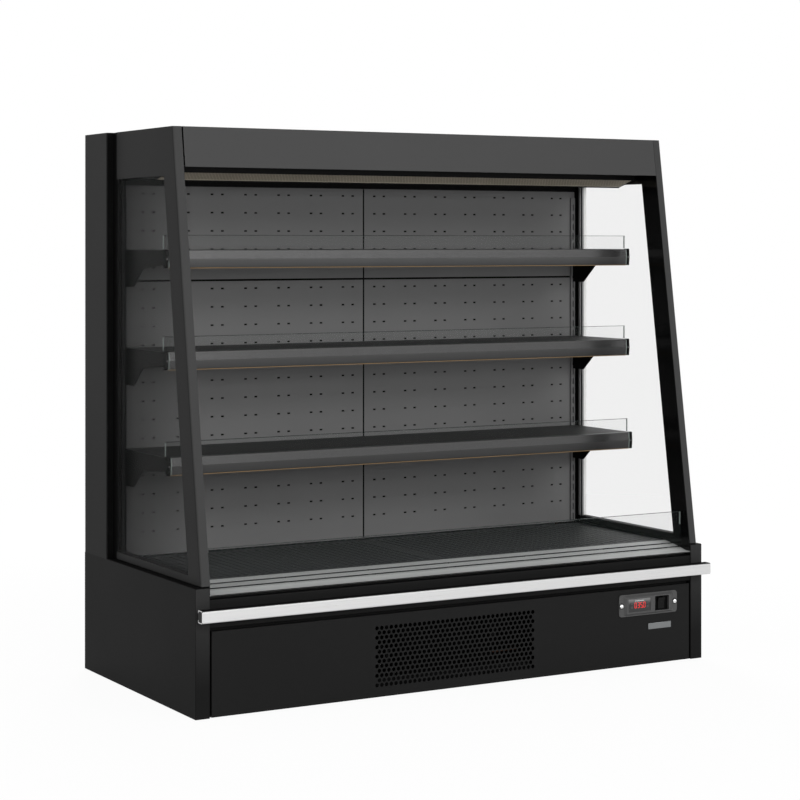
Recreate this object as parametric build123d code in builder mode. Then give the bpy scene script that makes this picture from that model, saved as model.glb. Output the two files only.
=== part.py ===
from build123d import *
import os
from math import atan2, cos, radians, sin

# Open multideck display fridge. X runs across the front, +Y to the back, +Z up, all in millimetres.
# The origin is on the floor, at the centre of the outline with the bumper.

# Driving dimensions of the cabinet
width = 1600
body_depth = 750
height = 1504
base_height = 330
bumper_reach = 40
floor_gap = 2
sheet = 2
post_lean = 177
side_inset = 16
side_thickness = 25
post_border = 75
box_depth = 160
seal_depth = 35
back_wall_depth = 584
duct_rear_depth = 700
ceiling_height = 1379
tank_floor = 230
tank_floor_top = 262
shaft_radius = 3

# Places worked out from them
half = width / 2
front_y = (bumper_reach - body_depth) / 2
side_out = half - side_inset
side_in = side_out - side_thickness
inner_half = half - 2
box_front = body_depth - box_depth
seal_front = box_front - seal_depth


def back(depth):
    # Y of a point that lies this deep behind the front of the base
    return front_y + depth


def lean(z):
    # depth of the leaning front edge at height z
    return 1.5 + (z - base_height) * post_lean / (height - base_height)


def slab(x, depth, z, mode=Mode.ADD):
    # upright block between two X values, two depths and two heights
    centre = ((x[0] + x[1]) / 2, back((depth[0] + depth[1]) / 2), (z[0] + z[1]) / 2)
    with Locations(centre):
        Box(x[1] - x[0], depth[1] - depth[0], z[1] - z[0], mode=mode)


def side_plane(x):
    # sketch plane across the cabinet: its x is the depth, its y the height, its normal +X
    return Plane(origin=(x, front_y, 0), x_dir=(0, 1, 0), z_dir=(1, 0, 0))


def face_plane(depth, x=0, z=0):
    # sketch plane facing the shopper: its x is X, its y is Z, its normal -Y
    return Plane(origin=(x, back(depth), z), x_dir=(1, 0, 0), z_dir=(0, -1, 0))


def profile(points, x_from, x_to, mode=Mode.ADD):
    # closed outline of depth and height points, drawn out along X
    with BuildSketch(side_plane(x_from)) as outline:
        with BuildLine():
            Polyline(*points, close=True)
        make_face()
    extrude(outline.sketch, amount=x_to - x_from, mode=mode)


def folded(points, x_from, x_to, bend, thickness=sheet, side=Side.RIGHT):
    # folded sheet: the line of depth and height points is its outer face
    with BuildSketch(side_plane(x_from)) as outline:
        with BuildLine():
            FilletPolyline(*points, radius=bend)
            offset(amount=thickness, side=side, kind=Kind.INTERSECTION)
        make_face()
    extrude(outline.sketch, amount=x_to - x_from)


def tube(points, radius, bend):
    # pipe along points of X, depth and height
    with BuildLine() as route:
        FilletPolyline(*[(x, back(depth), z) for x, depth, z in points], radius=bend)
    with BuildSketch(Plane(origin=route.line @ 0, z_dir=route.line % 0)) as ring:
        Circle(radius)
    sweep(ring.sketch, path=route.line)


def finned_coil(x_half, x_mid, depth, z, pitch):
    # block of fins on two rows of tubes with bends at both ends
    fins = int(2 * x_half / pitch)
    depth_mid = sum(depth) / 2
    with BuildSketch(Plane.XY.offset(z[0])) as combs:
        with Locations((x_mid, back(depth_mid))):
            with GridLocations(2 * x_half / fins, 1, fins + 1, 1):
                Rectangle(1, depth[1] - depth[0])
    extrude(combs.sketch, amount=z[1] - z[0])
    step = (z[1] - z[0]) / 4
    left, right = x_mid - x_half - 1, x_mid + x_half + 1
    for row in (depth_mid - 22.5, depth_mid + 22.5):
        path = [(right, z[0] + step / 2)]
        for level, side in ((0, left), (1, right), (2, left)):
            bulge = -step / 2 if side == left else step / 2
            path.append((side + bulge, z[0] + step * (level + 0.5)))
            path.append((side + bulge, z[0] + step * (level + 1.5)))
        path.append((right, z[1] - step / 2))
        tube([(x, row, height) for x, height in path], 4.5, step / 2 - 0.01)


def rotor(plane, radius, hub_radius, thickness, blades, blade_pitch):
    # fan on the given plane, its hub bored for the motor shaft
    with Locations(plane):
        with PolarLocations((radius + hub_radius) / 2, blades):
            Box(radius - hub_radius + 6, radius * 0.62, 1.4, rotation=(blade_pitch, 0, 0))
        Cylinder(radius, thickness, mode=Mode.INTERSECT)
        Cylinder(hub_radius, thickness)
        Cylinder(shaft_radius + 0.05, thickness, mode=Mode.SUBTRACT)


def save(piece, name):
    piece.part.label = name
    export_step(piece.part, f"parts/{name}.step")


os.makedirs("parts", exist_ok=True)

# ---- base: side panels, front rail, frame, feet, rear cover ----

post_face = 40
post_return = 22

with BuildPart() as base_side_panel_left:
    with BuildSketch(Plane.XY.offset(floor_gap)):
        with BuildLine():
            FilletPolyline(
                (-half, back(body_depth)),
                (-half, front_y),
                (-half + post_face, front_y),
                (-half + post_face, back(post_return)),
                radius=3,
            )
            offset(amount=sheet, side=Side.LEFT, kind=Kind.INTERSECTION)
        make_face()
    extrude(amount=base_height - sheet - floor_gap)
    with BuildSketch(Plane.XY.offset(base_height - sheet)) as ledge:
        with Locations((-half + (half - side_in) / 2, back(body_depth / 2))):
            Rectangle(half - side_in, body_depth)
        fillet(ledge.vertices().sort_by(Axis.Y)[:2].sort_by(Axis.X)[0], radius=3)
    extrude(amount=sheet)
save(base_side_panel_left, "base_side_panel_left")

with BuildPart() as base_side_panel_right:
    mirror(base_side_panel_left.part, about=Plane.YZ)
save(base_side_panel_right, "base_side_panel_right")

rail_z = (228, 300)
rail_front = 4
rail_return = 24
rail_flange = 24
with BuildPart() as base_front_rail:
    rail_low, rail_high = rail_z
    folded(
        [
            (rail_return - sheet, rail_low - rail_flange),
            (rail_return - sheet, rail_low),
            (rail_front, rail_low),
            (rail_front, rail_high),
            (rail_return, rail_high),
        ],
        -half + post_face,
        half - post_face,
        bend=3,
    )
save(base_front_rail, "base_front_rail")

frame_z = (20, 50)
frame_rail = 40
foot_x = 765
foot_depths = (62, 712)
stud_radius = 5
stud_clearance = 0.08
frame_depth = (24, 735)
with BuildPart() as base_frame:
    slab((-inner_half, inner_half), frame_depth, frame_z)
    hollow = (frame_z[0] - 1, frame_z[1] - sheet)
    bay = (2 * inner_half - 4 * frame_rail) / 3
    bay_depth = (frame_depth[0] + frame_rail, frame_depth[1] - frame_rail)
    for x in (-bay - frame_rail, 0, bay + frame_rail):
        slab((x - bay / 2, x + bay / 2), bay_depth, hollow, mode=Mode.SUBTRACT)
    for x in (-inner_half + frame_rail / 2, inner_half - frame_rail / 2):
        web = (x - frame_rail / 2 + sheet, x + frame_rail / 2 - sheet)
        slab(web, (foot_depths[0] + 30, foot_depths[1] - 30), hollow, mode=Mode.SUBTRACT)
    with BuildSketch(Plane.XY.offset(frame_z[0] - 1)):
        for depth in foot_depths:
            with Locations((-foot_x, back(depth)), (foot_x, back(depth))):
                Circle(stud_radius + stud_clearance)
    extrude(amount=frame_z[1] - frame_z[0] + 2, mode=Mode.SUBTRACT)
save(base_frame, "base_frame")

pad_radius = 22
with BuildPart() as levelling_feet:
    foot_places = [(x, back(depth)) for x in (-foot_x, foot_x) for depth in foot_depths]
    with BuildSketch(Plane.XY):
        with Locations(*foot_places):
            Circle(pad_radius)
    extrude(amount=6, taper=8)
    with BuildSketch(Plane.XY.offset(6)):
        with Locations(*foot_places):
            RegularPolygon(9, 6)
    extrude(amount=8)
    with BuildSketch(Plane.XY.offset(14)):
        with Locations(*foot_places):
            Circle(stud_radius)
    extrude(amount=50)
save(levelling_feet, "levelling_feet")

cover_depth = (735, 737)
gland_x = -700
gland_z = 120
gland_thread = 8
with BuildPart() as rear_base_cover:
    slab((-inner_half + 1, inner_half - 1), cover_depth, (6, tank_floor))
    with BuildSketch(face_plane(cover_depth[0] - 5)):
        for x in (-330, 330):
            with Locations((x, 128)):
                with GridLocations(150, 16, 3, 9):
                    SlotOverall(120, 7)
        with Locations((gland_x, gland_z)):
            Circle(gland_thread + 0.3)
    extrude(amount=-20, mode=Mode.SUBTRACT)
save(rear_base_cover, "rear_base_cover")

# ---- bumper ----

bumper_z = (249, 281)
bumper_depth = (-bumper_reach, -15)
bumper_lip = 7
with BuildPart() as bumper_rail:
    folded(
        [
            (bumper_depth[1], bumper_z[0] + bumper_lip),
            (bumper_depth[1], bumper_z[0]),
            (bumper_depth[0], bumper_z[0]),
            (bumper_depth[0], bumper_z[1]),
            (bumper_depth[1], bumper_z[1]),
            (bumper_depth[1], bumper_z[1] - bumper_lip),
        ],
        -half,
        half,
        bend=3.5,
    )
save(bumper_rail, "bumper_rail")

bumper_bracket_pitch = 370
with BuildPart() as bumper_brackets:
    for step in range(-2, 3):
        x = step * bumper_bracket_pitch
        slab((x - 15, x + 15), (bumper_depth[0] + sheet, rail_front), (258, 272))
save(bumper_brackets, "bumper_brackets")

# ---- front service panel with its grille and control panel ----

panel_half = 754.5
panel_z = (3, 220)
panel_front = 2
panel_return = 16
hole_pitch = 14.47
hole_radius = 5.4
grille_x = -30
grille_z = 109.6
control_x = 607.5
control_z = 174.5
display_x = 572.5
display_size = (77, 36)
module_size = (70, 28)
switch_x = 651
recess_size = (50, 42)
well_size = (24, 34)

with BuildPart() as front_service_panel:
    slab((-panel_half, panel_half), (panel_front, panel_return), panel_z)
    slab(
        (-panel_half + sheet, panel_half - sheet),
        (panel_front + sheet, panel_return + 1),
        (panel_z[0] + sheet, panel_z[1] - sheet),
        mode=Mode.SUBTRACT,
    )
    with BuildSketch(face_plane(panel_front)):
        with Locations((grille_x, grille_z)):
            with GridLocations(hole_pitch, hole_pitch * 3**0.5, 35, 7):
                Circle(hole_radius)
            with GridLocations(hole_pitch, hole_pitch * 3**0.5, 34, 6):
                Circle(hole_radius)
        with Locations((display_x, control_z)):
            Rectangle(module_size[0] + 1, module_size[1] + 1)
        with Locations((switch_x, control_z)):
            Rectangle(well_size[0] + 4, well_size[1] + 4)
    extrude(amount=-sheet, mode=Mode.SUBTRACT)
save(front_service_panel, "front_service_panel")

bezel_size = (203, 62)
bezel_rim = 3
bezel_front = -8
recess_floor = 0
well_depth = 14
screw_offset = 93
screw_radius = 6.9
screw_sink = 1
rocker_pivot_depth = 6
pin_radius = 2
pin_clearance = 0.05
with BuildPart() as control_bezel:
    with BuildSketch(face_plane(panel_front, control_x, control_z)):
        RectangleRounded(*bezel_size, 9)
    extrude(amount=bezel_rim)
    with BuildSketch(face_plane(panel_front - bezel_rim, control_x, control_z)):
        RectangleRounded(172, 56, 5)
    with BuildSketch(face_plane(bezel_front, control_x, control_z)):
        RectangleRounded(158, 46, 3)
    loft()
    with BuildSketch(face_plane(panel_front, 0, control_z)):
        with Locations((display_x, 0)):
            Rectangle(display_size[0] + 0.6, display_size[1] + 0.6)
        with Locations((switch_x, 0)):
            Rectangle(*well_size)
        with Locations((control_x - screw_offset, 0), (control_x + screw_offset, 0)):
            Circle(2.2)
    extrude(amount=20, mode=Mode.SUBTRACT)
    with BuildSketch(face_plane(panel_front - bezel_rim + screw_sink, control_x, control_z)):
        with GridLocations(2 * screw_offset, 1, 2, 1):
            Circle(screw_radius + 1.4)
    extrude(amount=20, mode=Mode.SUBTRACT)
    with BuildSketch(face_plane(recess_floor, switch_x, control_z)):
        RectangleRounded(*recess_size, 1.5)
    extrude(amount=20, mode=Mode.SUBTRACT)
    with BuildSketch(face_plane(panel_front, switch_x, control_z)):
        Rectangle(well_size[0] + 3, well_size[1] + 3)
        Rectangle(*well_size, mode=Mode.SUBTRACT)
    extrude(amount=-well_depth)
    with BuildSketch(face_plane(panel_front + well_depth, switch_x, control_z)):
        Rectangle(well_size[0] + 3, well_size[1] + 3)
    extrude(amount=-1.5)
    with BuildSketch(side_plane(switch_x)):
        with Locations((rocker_pivot_depth, control_z)):
            Circle(pin_radius + pin_clearance)
    extrude(amount=20, both=True, mode=Mode.SUBTRACT)
save(control_bezel, "control_bezel")

key_offset = 27.5
key_rise = 5
key_size = (8, 6)
key_stand = 0.8
key_travel = 0.6
face_front = -7
with BuildPart() as display_module:
    with BuildSketch(face_plane(face_front + 5, display_x, control_z)):
        Rectangle(*display_size)
    extrude(amount=5)
    with BuildSketch(face_plane(face_front + 5, display_x, control_z)):
        Rectangle(*module_size)
    extrude(amount=-60)
    with BuildSketch(face_plane(face_front, display_x, control_z)):
        with GridLocations(2 * key_offset, 2 * key_rise, 2, 2):
            RectangleRounded(key_size[0] + 0.6, key_size[1] + 0.6, 1.3)
    extrude(amount=-3, mode=Mode.SUBTRACT)
save(display_module, "display_module")

key_corners = (("left_upper", -1, 1), ("left_lower", -1, -1), ("right_upper", 1, 1), ("right_lower", 1, -1))
for key_name, side, row in key_corners:
    with BuildPart() as controller_key:
        key_place = face_plane(face_front + 2, display_x + side * key_offset, control_z + row * key_rise)
        with BuildSketch(key_place):
            RectangleRounded(*key_size, 1)
        extrude(amount=2 + key_stand)
    save(controller_key, f"controller_key_{key_name}")

with BuildPart() as bezel_screws:
    screw_seat = panel_front - bezel_rim + screw_sink
    for screw_x in (control_x - screw_offset, control_x + screw_offset):
        dome_plane = Plane(origin=(screw_x, back(screw_seat), control_z), x_dir=(0, 0, 1), z_dir=(1, 0, 0))
        with BuildSketch(dome_plane):
            with BuildLine():
                Polyline((0, 0), (screw_radius, 0), (screw_radius, 1.6))
                ThreePointArc((screw_radius, 1.6), (5.2, 4.4), (0, 6))
                Line((0, 6), (0, 0))
            make_face()
        revolve(axis=Axis((screw_x, back(screw_seat), control_z), (0, 1, 0)))
        with BuildSketch(face_plane(screw_seat, screw_x, control_z)):
            Circle(2)
        extrude(amount=-bezel_rim + screw_sink)
        with BuildSketch(face_plane(screw_seat - 4.4, screw_x, control_z)):
            Rectangle(6, 1.1)
            Rectangle(1.1, 6)
        extrude(amount=3, mode=Mode.SUBTRACT)
save(bezel_screws, "bezel_screws")

# The rocker rests tipped by half its throw about the pin behind its face
rocker_tip = radians(6)
rocker_size = (22, 32)
rocker_plane = Plane(
    origin=(switch_x - rocker_size[0] / 2, back(rocker_pivot_depth), control_z),
    x_dir=(0, cos(rocker_tip), sin(rocker_tip)),
    z_dir=(1, 0, 0),
)
with BuildPart() as rocker_switch:
    rocker_top = rocker_size[1] / 2
    with BuildSketch(rocker_plane):
        with BuildLine():
            Polyline(
                (-11, rocker_top),
                (-9, 0),
                (-11, -rocker_top),
                (-3, -rocker_top),
                (3, -4),
                (3, 4),
                (-3, rocker_top),
                close=True,
            )
        make_face()
    extrude(amount=rocker_size[0])
    with BuildSketch(side_plane(switch_x)):
        with Locations((rocker_pivot_depth, control_z)):
            Circle(pin_radius)
    extrude(amount=well_size[0] / 2 + 1.3, both=True)
save(rocker_switch, "rocker_switch")

# ---- insulated tank, back box, roof ----
# These are the sheet skins of foamed panels. Each is open at an end that meets the next one.

tank_depth = (26, 700)
tank_front_wall = 20
skin = 1
pipe_pass = (720, 640)
with BuildPart() as insulated_tank:
    slab((-inner_half, inner_half), tank_depth, (tank_floor, 304))
    slab((-inner_half, inner_half), (100, tank_depth[1]), (300, base_height - sheet))
    slab(
        (-side_in, side_in),
        (tank_depth[0] + tank_front_wall, tank_depth[1] + 1),
        (tank_floor_top, base_height + 10),
        mode=Mode.SUBTRACT,
    )
    with BuildSketch(Plane.XY.offset(tank_floor - 1)):
        with Locations((pipe_pass[0], back(pipe_pass[1]))):
            Circle(18)
    extrude(amount=tank_floor_top - tank_floor + 2, mode=Mode.SUBTRACT)
    inside = (tank_floor + 3, tank_floor_top - 3)
    reach = (tank_depth[0] + 3, tank_depth[1] + 1)
    slab((-inner_half + 3, inner_half - 3), reach, inside, mode=Mode.SUBTRACT)
save(insulated_tank, "insulated_tank")

roof_z = (1446, height)
with BuildPart() as rear_wall_panel:
    slab((-side_in + 1, side_in - 1), (duct_rear_depth, body_depth - 2), (tank_floor, roof_z[0]))
    inside = (duct_rear_depth + skin, body_depth - 2 - skin)
    slab((-side_in + 2, side_in - 2), inside, (tank_floor - 1, roof_z[0] - skin), mode=Mode.SUBTRACT)
save(rear_wall_panel, "rear_wall_panel")

cheek_width = 40
with BuildPart() as back_box_cheek_left:
    slab((-half, -half + cheek_width), (box_front, body_depth), (base_height, height))
    upright_edges = back_box_cheek_left.edges().filter_by(Axis.Z)
    fillet(upright_edges.sort_by(Axis.X)[:2], radius=3)
    inside = (-half + 1.2, -half + cheek_width - 1.2)
    slab(inside, (box_front + 1.2, body_depth - 1.2), (base_height - 1, height - 1.2), mode=Mode.SUBTRACT)
save(back_box_cheek_left, "back_box_cheek_left")

with BuildPart() as back_box_cheek_right:
    mirror(back_box_cheek_left.part, about=Plane.YZ)
save(back_box_cheek_right, "back_box_cheek_right")

with BuildPart() as roof_panel:
    roof_low = roof_z[0]
    profile(
        [
            (lean(roof_low) + 5, roof_low),
            (lean(height) + 5, height),
            (body_depth, height),
            (body_depth, roof_low),
        ],
        -side_in + 1,
        side_in - 1,
    )
    inside = (roof_low + skin, height - skin)
    slab((-side_in + 2, side_in - 2), (0, body_depth - skin), inside, mode=Mode.SUBTRACT)
save(roof_panel, "roof_panel")

# ---- sides: frame, glass, seal ----

header_z = 1376
sill_z = 354
frame_low = 335
glass_edge = [
    (lean(sill_z) + post_border, sill_z),
    (lean(header_z) + post_border, header_z),
    (seal_front, header_z),
    (seal_front, sill_z),
]
frame_outline = [
    (lean(frame_low), frame_low),
    (lean(height), height),
    (seal_front, height),
    (seal_front, header_z),
    (lean(header_z) + post_border, header_z),
    (lean(sill_z) + post_border, sill_z),
    (seal_front, sill_z),
    (seal_front, frame_low),
]
post_round = 7
with BuildPart() as side_frame_left:
    profile(frame_outline, -side_out, -side_in)
    outer_edges = side_frame_left.edges().filter_by_position(Axis.X, -side_out - 0.1, -side_out + 0.1)
    fillet(outer_edges.sort_by(Axis.Y)[0], radius=post_round)
save(side_frame_left, "side_frame_left")

with BuildPart() as side_frame_right:
    mirror(side_frame_left.part, about=Plane.YZ)
save(side_frame_right, "side_frame_right")

pane = 4
with BuildPart() as side_glass_left:
    profile(glass_edge, -side_out, -side_out + pane)
    profile(glass_edge, -side_in - pane, -side_in)
save(side_glass_left, "side_glass_left")

with BuildPart() as side_glass_right:
    mirror(side_glass_left.part, about=Plane.YZ)
save(side_glass_right, "side_glass_right")

seal_lip = 4
with BuildPart() as side_seal_strips:
    for side in (-1, 1):
        body_x = sorted((side * side_in, side * (side_out - 4)))
        flange_x = sorted((side * (side_out - 4), side * (half - 1)))
        slab(body_x, (seal_front, box_front), (base_height, height))
        slab(flange_x, (box_front - seal_lip, box_front), (base_height, height))
        slab(body_x, (3, seal_front), (base_height, frame_low))
        slab(flange_x, (3, box_front), (base_height, base_height + 1.2))
save(side_seal_strips, "side_seal_strips")

# ---- canopy ----

fascia_x = (-755, 758.2)
fascia_z = 1398
with BuildPart() as front_fascia:
    folded(
        [
            (lean(fascia_z) + 22, fascia_z + 3),
            (lean(fascia_z), fascia_z),
            (lean(height), height),
            (lean(height) + 3.9, height),
        ],
        *fascia_x,
        bend=1,
    )
save(front_fascia, "front_fascia")

honeycomb_front = (275, 1389)
honeycomb_rear = (341, 1369.5)
honeycomb_thickness = 14
honeycomb_half = 755
honeycomb_tilt = atan2(honeycomb_front[1] - honeycomb_rear[1], honeycomb_rear[0] - honeycomb_front[0])
honeycomb_middle = [sum(pair) / 2 for pair in zip(honeycomb_front, honeycomb_rear)]
strip_plane = Plane(
    origin=(0, back(honeycomb_middle[0]), honeycomb_middle[1]),
    x_dir=(1, 0, 0),
    z_dir=(0, sin(honeycomb_tilt), cos(honeycomb_tilt)),
)
with BuildPart() as air_discharge_honeycomb:
    with BuildSketch(strip_plane):
        Rectangle(2 * honeycomb_half, 68)
        with GridLocations(30, 21, 49, 3):
            Rectangle(27, 18, mode=Mode.SUBTRACT)
    extrude(amount=honeycomb_thickness)
save(air_discharge_honeycomb, "air_discharge_honeycomb")

lamp_z = 1408
with BuildPart() as canopy_lamp:
    lamp_cover = [(192, lamp_z + 6), (196, lamp_z), (214, lamp_z), (218, lamp_z + 6)]
    profile(lamp_cover + [(218, roof_z[0]), (192, roof_z[0])], -700, 700)
save(canopy_lamp, "canopy_lamp")

lip_depth = honeycomb_rear[0] + 7
holder_depth = honeycomb_front[0] - 6
with BuildPart() as canopy_ceiling:
    ceiling_line = [(578, 1361), (578, ceiling_height), (lip_depth, ceiling_height), (lip_depth, 1366)]
    folded(ceiling_line, -side_in + 1, side_in - 1, bend=1.6, thickness=1.5)
    profile(
        [(holder_depth, 1387), (holder_depth + 1.5, 1387), (holder_depth + 1.5, 1412), (holder_depth, 1412)],
        -side_in + 1,
        side_in - 1,
    )
    lip_rear = lip_depth + 1
    end_plate = [(holder_depth, 1387.5), (lip_rear, 1367), (lip_rear, 1400), (holder_depth, 1412)]
    profile(end_plate, -side_in + 1, -side_in + 2)
    profile(end_plate, side_in - 2, side_in - 1)
save(canopy_ceiling, "canopy_ceiling")

# ---- back panels and shelf uprights ----

panel_sheet = 1.5
seam_x = 6
seam_z = 1095
back_z = (333, 1359)
slot_top_z = 1338
slot_pitch_z = 51.75
slot_pair_pitch = 105.2
slot_pair_gap = 32.4
slot_size = (9, 4.5)
first_slot_x = -693.8
upper_rows = [slot_top_z - row * slot_pitch_z for row in range(5)]
lower_rows = [1071.5 - row * slot_pitch_z for row in range(14)]
pair_starts = [first_slot_x + pair * slot_pair_pitch for pair in range(14)]
slot_columns = pair_starts + [x + slot_pair_gap for x in pair_starts]
with BuildPart() as back_panels:
    for x in ((-side_in + 1, seam_x - 0.75), (seam_x + 0.75, side_in - 1)):
        for z in ((back_z[0], seam_z - 2.7), (seam_z + 2.7, back_z[1])):
            slab(x, (back_wall_depth, back_wall_depth + panel_sheet), z)
    with BuildSketch(face_plane(back_wall_depth)):
        with Locations(*[(x, z) for z in upper_rows + lower_rows for x in slot_columns]):
            Rectangle(*slot_size)
    extrude(amount=-panel_sheet, mode=Mode.SUBTRACT)
save(back_panels, "back_panels")

upright_x = 748
upright_size = 14
upright_depth = (576, back_wall_depth)
hook_pitch = 30
with BuildPart() as shelf_uprights:
    for side in (-1, 1):
        x = side * upright_x
        slab((x - upright_size / 2, x + upright_size / 2), upright_depth, (336, 1340))
        slab((x - 5, x + 5), (upright_depth[0] + 2, upright_depth[1] + 1), (340, 1336), mode=Mode.SUBTRACT)
    with BuildSketch(face_plane(upright_depth[0])):
        with Locations((-upright_x, 830), (upright_x, 830)):
            with GridLocations(1, hook_pitch, 1, 33):
                Rectangle(5, 20)
    extrude(amount=-2, mode=Mode.SUBTRACT)
save(shelf_uprights, "shelf_uprights")

# ---- deck: return-air grille, riser glass, pans ----

lip_half = side_in
lip_sheet = 1.2
lip_grooves = ((49.2, 58.2), (83.2, 92.2))
with BuildPart() as return_air_grille:
    nose = [(12, 309), (0, 309), (0, 312)]
    ramp = [(22, 312.8), (45, 318), (98, 327.4), (118, 330), (126, 330), (126, 322)]
    folded(
        nose + ramp,
        -lip_half,
        lip_half,
        bend=1,
        thickness=lip_sheet,
    )
    for groove in lip_grooves:
        slab((-lip_half - 1, lip_half + 1), groove, (300, 340), mode=Mode.SUBTRACT)
    # ribs below join the slats on either side of each groove
    comb_top = [(32, 314.2), (45, 317.2), (48, 317.7), (48, 313), (59.4, 315), (59.4, 319.7)]
    comb_rear = [(82, 323.7), (82, 319), (93.4, 321), (93.4, 325.7), (118, 329.2), (124.5, 329.2)]
    for x in range(-750, 751, 250):
        profile([(32, 306)] + comb_top + comb_rear + [(124.5, 322), (98, 312), (48, 306)], x - 1.5, x + 1.5)
save(return_air_grille, "return_air_grille")

riser_depth = (40, 45.5)
riser_half = 754
with BuildPart() as deck_riser_glass:
    profile([(40, 316.9), (45, 318), (45.5, 318.1), (45.5, 424), (40, 424)], -riser_half, riser_half)
save(deck_riser_glass, "deck_riser_glass")

pan_depth = (128, 570)
pan_top = 330
for name, x in (("deck_pan_left", (-757, -0.5)), ("deck_pan_right", (0.5, 757))):
    with BuildPart() as deck_pan:
        inside = (pan_depth[0] + 1.5, pan_depth[1] - 1.5)
        slab(x, pan_depth, (320, pan_top))
        slab((x[0] + 1.5, x[1] - 1.5), inside, (319, pan_top - 1.5), mode=Mode.SUBTRACT)
        with BuildSketch(Plane.XY.offset(pan_top)):
            with Locations((sum(x) / 2, back(sum(pan_depth) / 2))):
                with GridLocations(24, 1, 30, 1):
                    SlotOverall(400, 10, rotation=90)
        extrude(amount=1.2)
    save(deck_pan, name)

# ---- evaporator and its fans ----

with BuildPart() as evaporator_coil:
    finned_coil(690, 0, (592, 688), (tank_floor_top, 470), 20)
save(evaporator_coil, "evaporator_coil")

fan_middle = (495, 292)
fan_tilt = atan2(56, 130)
fan_x = 350
fan_radius = 52


def fan_plane(x, lift=0):
    # plane of an evaporator fan, its normal along the shaft and away from the air intake
    return Plane(
        origin=(x, back(fan_middle[0] - lift * sin(fan_tilt)), fan_middle[1] + lift * cos(fan_tilt)),
        x_dir=(1, 0, 0),
        z_dir=(0, -sin(fan_tilt), cos(fan_tilt)),
    )


with BuildPart() as evaporator_fan_plate:
    floor = tank_floor_top
    profile(
        [
            (405, floor),
            (430, floor),
            (560, 318.5),
            (583, 318.5),
            (583, 320),
            (559.4, 320),
            (429.6, floor + 1.5),
            (405, floor + 1.5),
        ],
        -756,
        756,
    )
    for x in (-fan_x, fan_x):
        with Locations(fan_plane(x)):
            Cylinder(fan_radius + 3, 20, mode=Mode.SUBTRACT)
        with BuildSketch(fan_plane(x, -2)):
            Circle(fan_radius + 5)
            Circle(fan_radius + 3, mode=Mode.SUBTRACT)
        extrude(amount=13.5)
        with BuildSketch(fan_plane(x, 9)):
            Circle(20)
            with PolarLocations(0, 3, start_angle=90):
                with Locations((28, 0)):
                    Rectangle(55, 6)
            Circle(fan_radius + 5, mode=Mode.INTERSECT)
        extrude(amount=2.5)
        with BuildSketch(fan_plane(x, -6)):
            Circle(shaft_radius)
        extrude(amount=16)
save(evaporator_fan_plate, "evaporator_fan_plate")

for name, x in (("evaporator_fan_left", -fan_x), ("evaporator_fan_right", fan_x)):
    with BuildPart() as evaporator_fan:
        rotor(fan_plane(x), fan_radius, 18, 16, 7, 28)
    save(evaporator_fan, name)

# ---- condensing unit in the base ----

unit_floor = frame_z[1]
coil_x = -30
with BuildPart() as condenser_coil:
    finned_coil(150, coil_x, (60, 150), (unit_floor, 214), 6)
save(condenser_coil, "condenser_coil")

condenser_fan_z = 134
condenser_radius = 74
with BuildPart() as condenser_fan_shroud:
    slab((coil_x - 155, coil_x + 155), (151, 153), (unit_floor, 218))
    with BuildSketch(face_plane(153, coil_x, condenser_fan_z)):
        Circle(condenser_radius + 3)
    extrude(amount=5, mode=Mode.SUBTRACT)
    with BuildSketch(face_plane(152, coil_x, condenser_fan_z)):
        Circle(condenser_radius + 5)
        Circle(condenser_radius + 3, mode=Mode.SUBTRACT)
    extrude(amount=-38)
    with BuildSketch(face_plane(187, coil_x, condenser_fan_z)):
        Circle(28)
        with PolarLocations(0, 4, start_angle=45):
            with Locations((38, 0)):
                Rectangle(78, 9)
        Circle(condenser_radius + 5, mode=Mode.INTERSECT)
    extrude(amount=-3)
    with BuildSketch(face_plane(187, coil_x, condenser_fan_z)):
        Circle(28)
    extrude(amount=-34)
    with BuildSketch(face_plane(160, coil_x, condenser_fan_z)):
        Circle(shaft_radius)
    extrude(amount=-30)
save(condenser_fan_shroud, "condenser_fan_shroud")

with BuildPart() as condenser_fan:
    rotor(face_plane(171, coil_x, condenser_fan_z), condenser_radius, 26, 24, 7, 28)
save(condenser_fan, "condenser_fan")

shell_x, shell_depth = 330, 330
compressor_radius = 78
with BuildPart() as compressor:
    shell_plane = Plane(origin=(shell_x, back(shell_depth), 0), x_dir=(1, 0, 0), z_dir=(0, -1, 0))
    with BuildSketch(shell_plane):
        with BuildLine():
            Polyline((0, 66), (60, 66), (compressor_radius, 84), (compressor_radius, 150))
            ThreePointArc((compressor_radius, 150), (58, 188), (0, 206))
            Line((0, 206), (0, 66))
        make_face()
        with Locations((compressor_radius / 2 + 2, 124)):
            Rectangle(compressor_radius + 4, 6)
    revolve(axis=Axis((shell_x, back(shell_depth), 0), (0, 0, 1)))
    slab((shell_x - 95, shell_x + 95), (shell_depth - 70, shell_depth + 70), (62, 67))
    with BuildSketch(Plane.XY.offset(unit_floor)):
        with Locations((shell_x, back(shell_depth))):
            with GridLocations(160, 110, 2, 2):
                Circle(12)
    extrude(amount=13)
    slab((shell_x - 26, shell_x + 26), (shell_depth - 106, shell_depth - 60), (90, 150))
save(compressor, "compressor")

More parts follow.
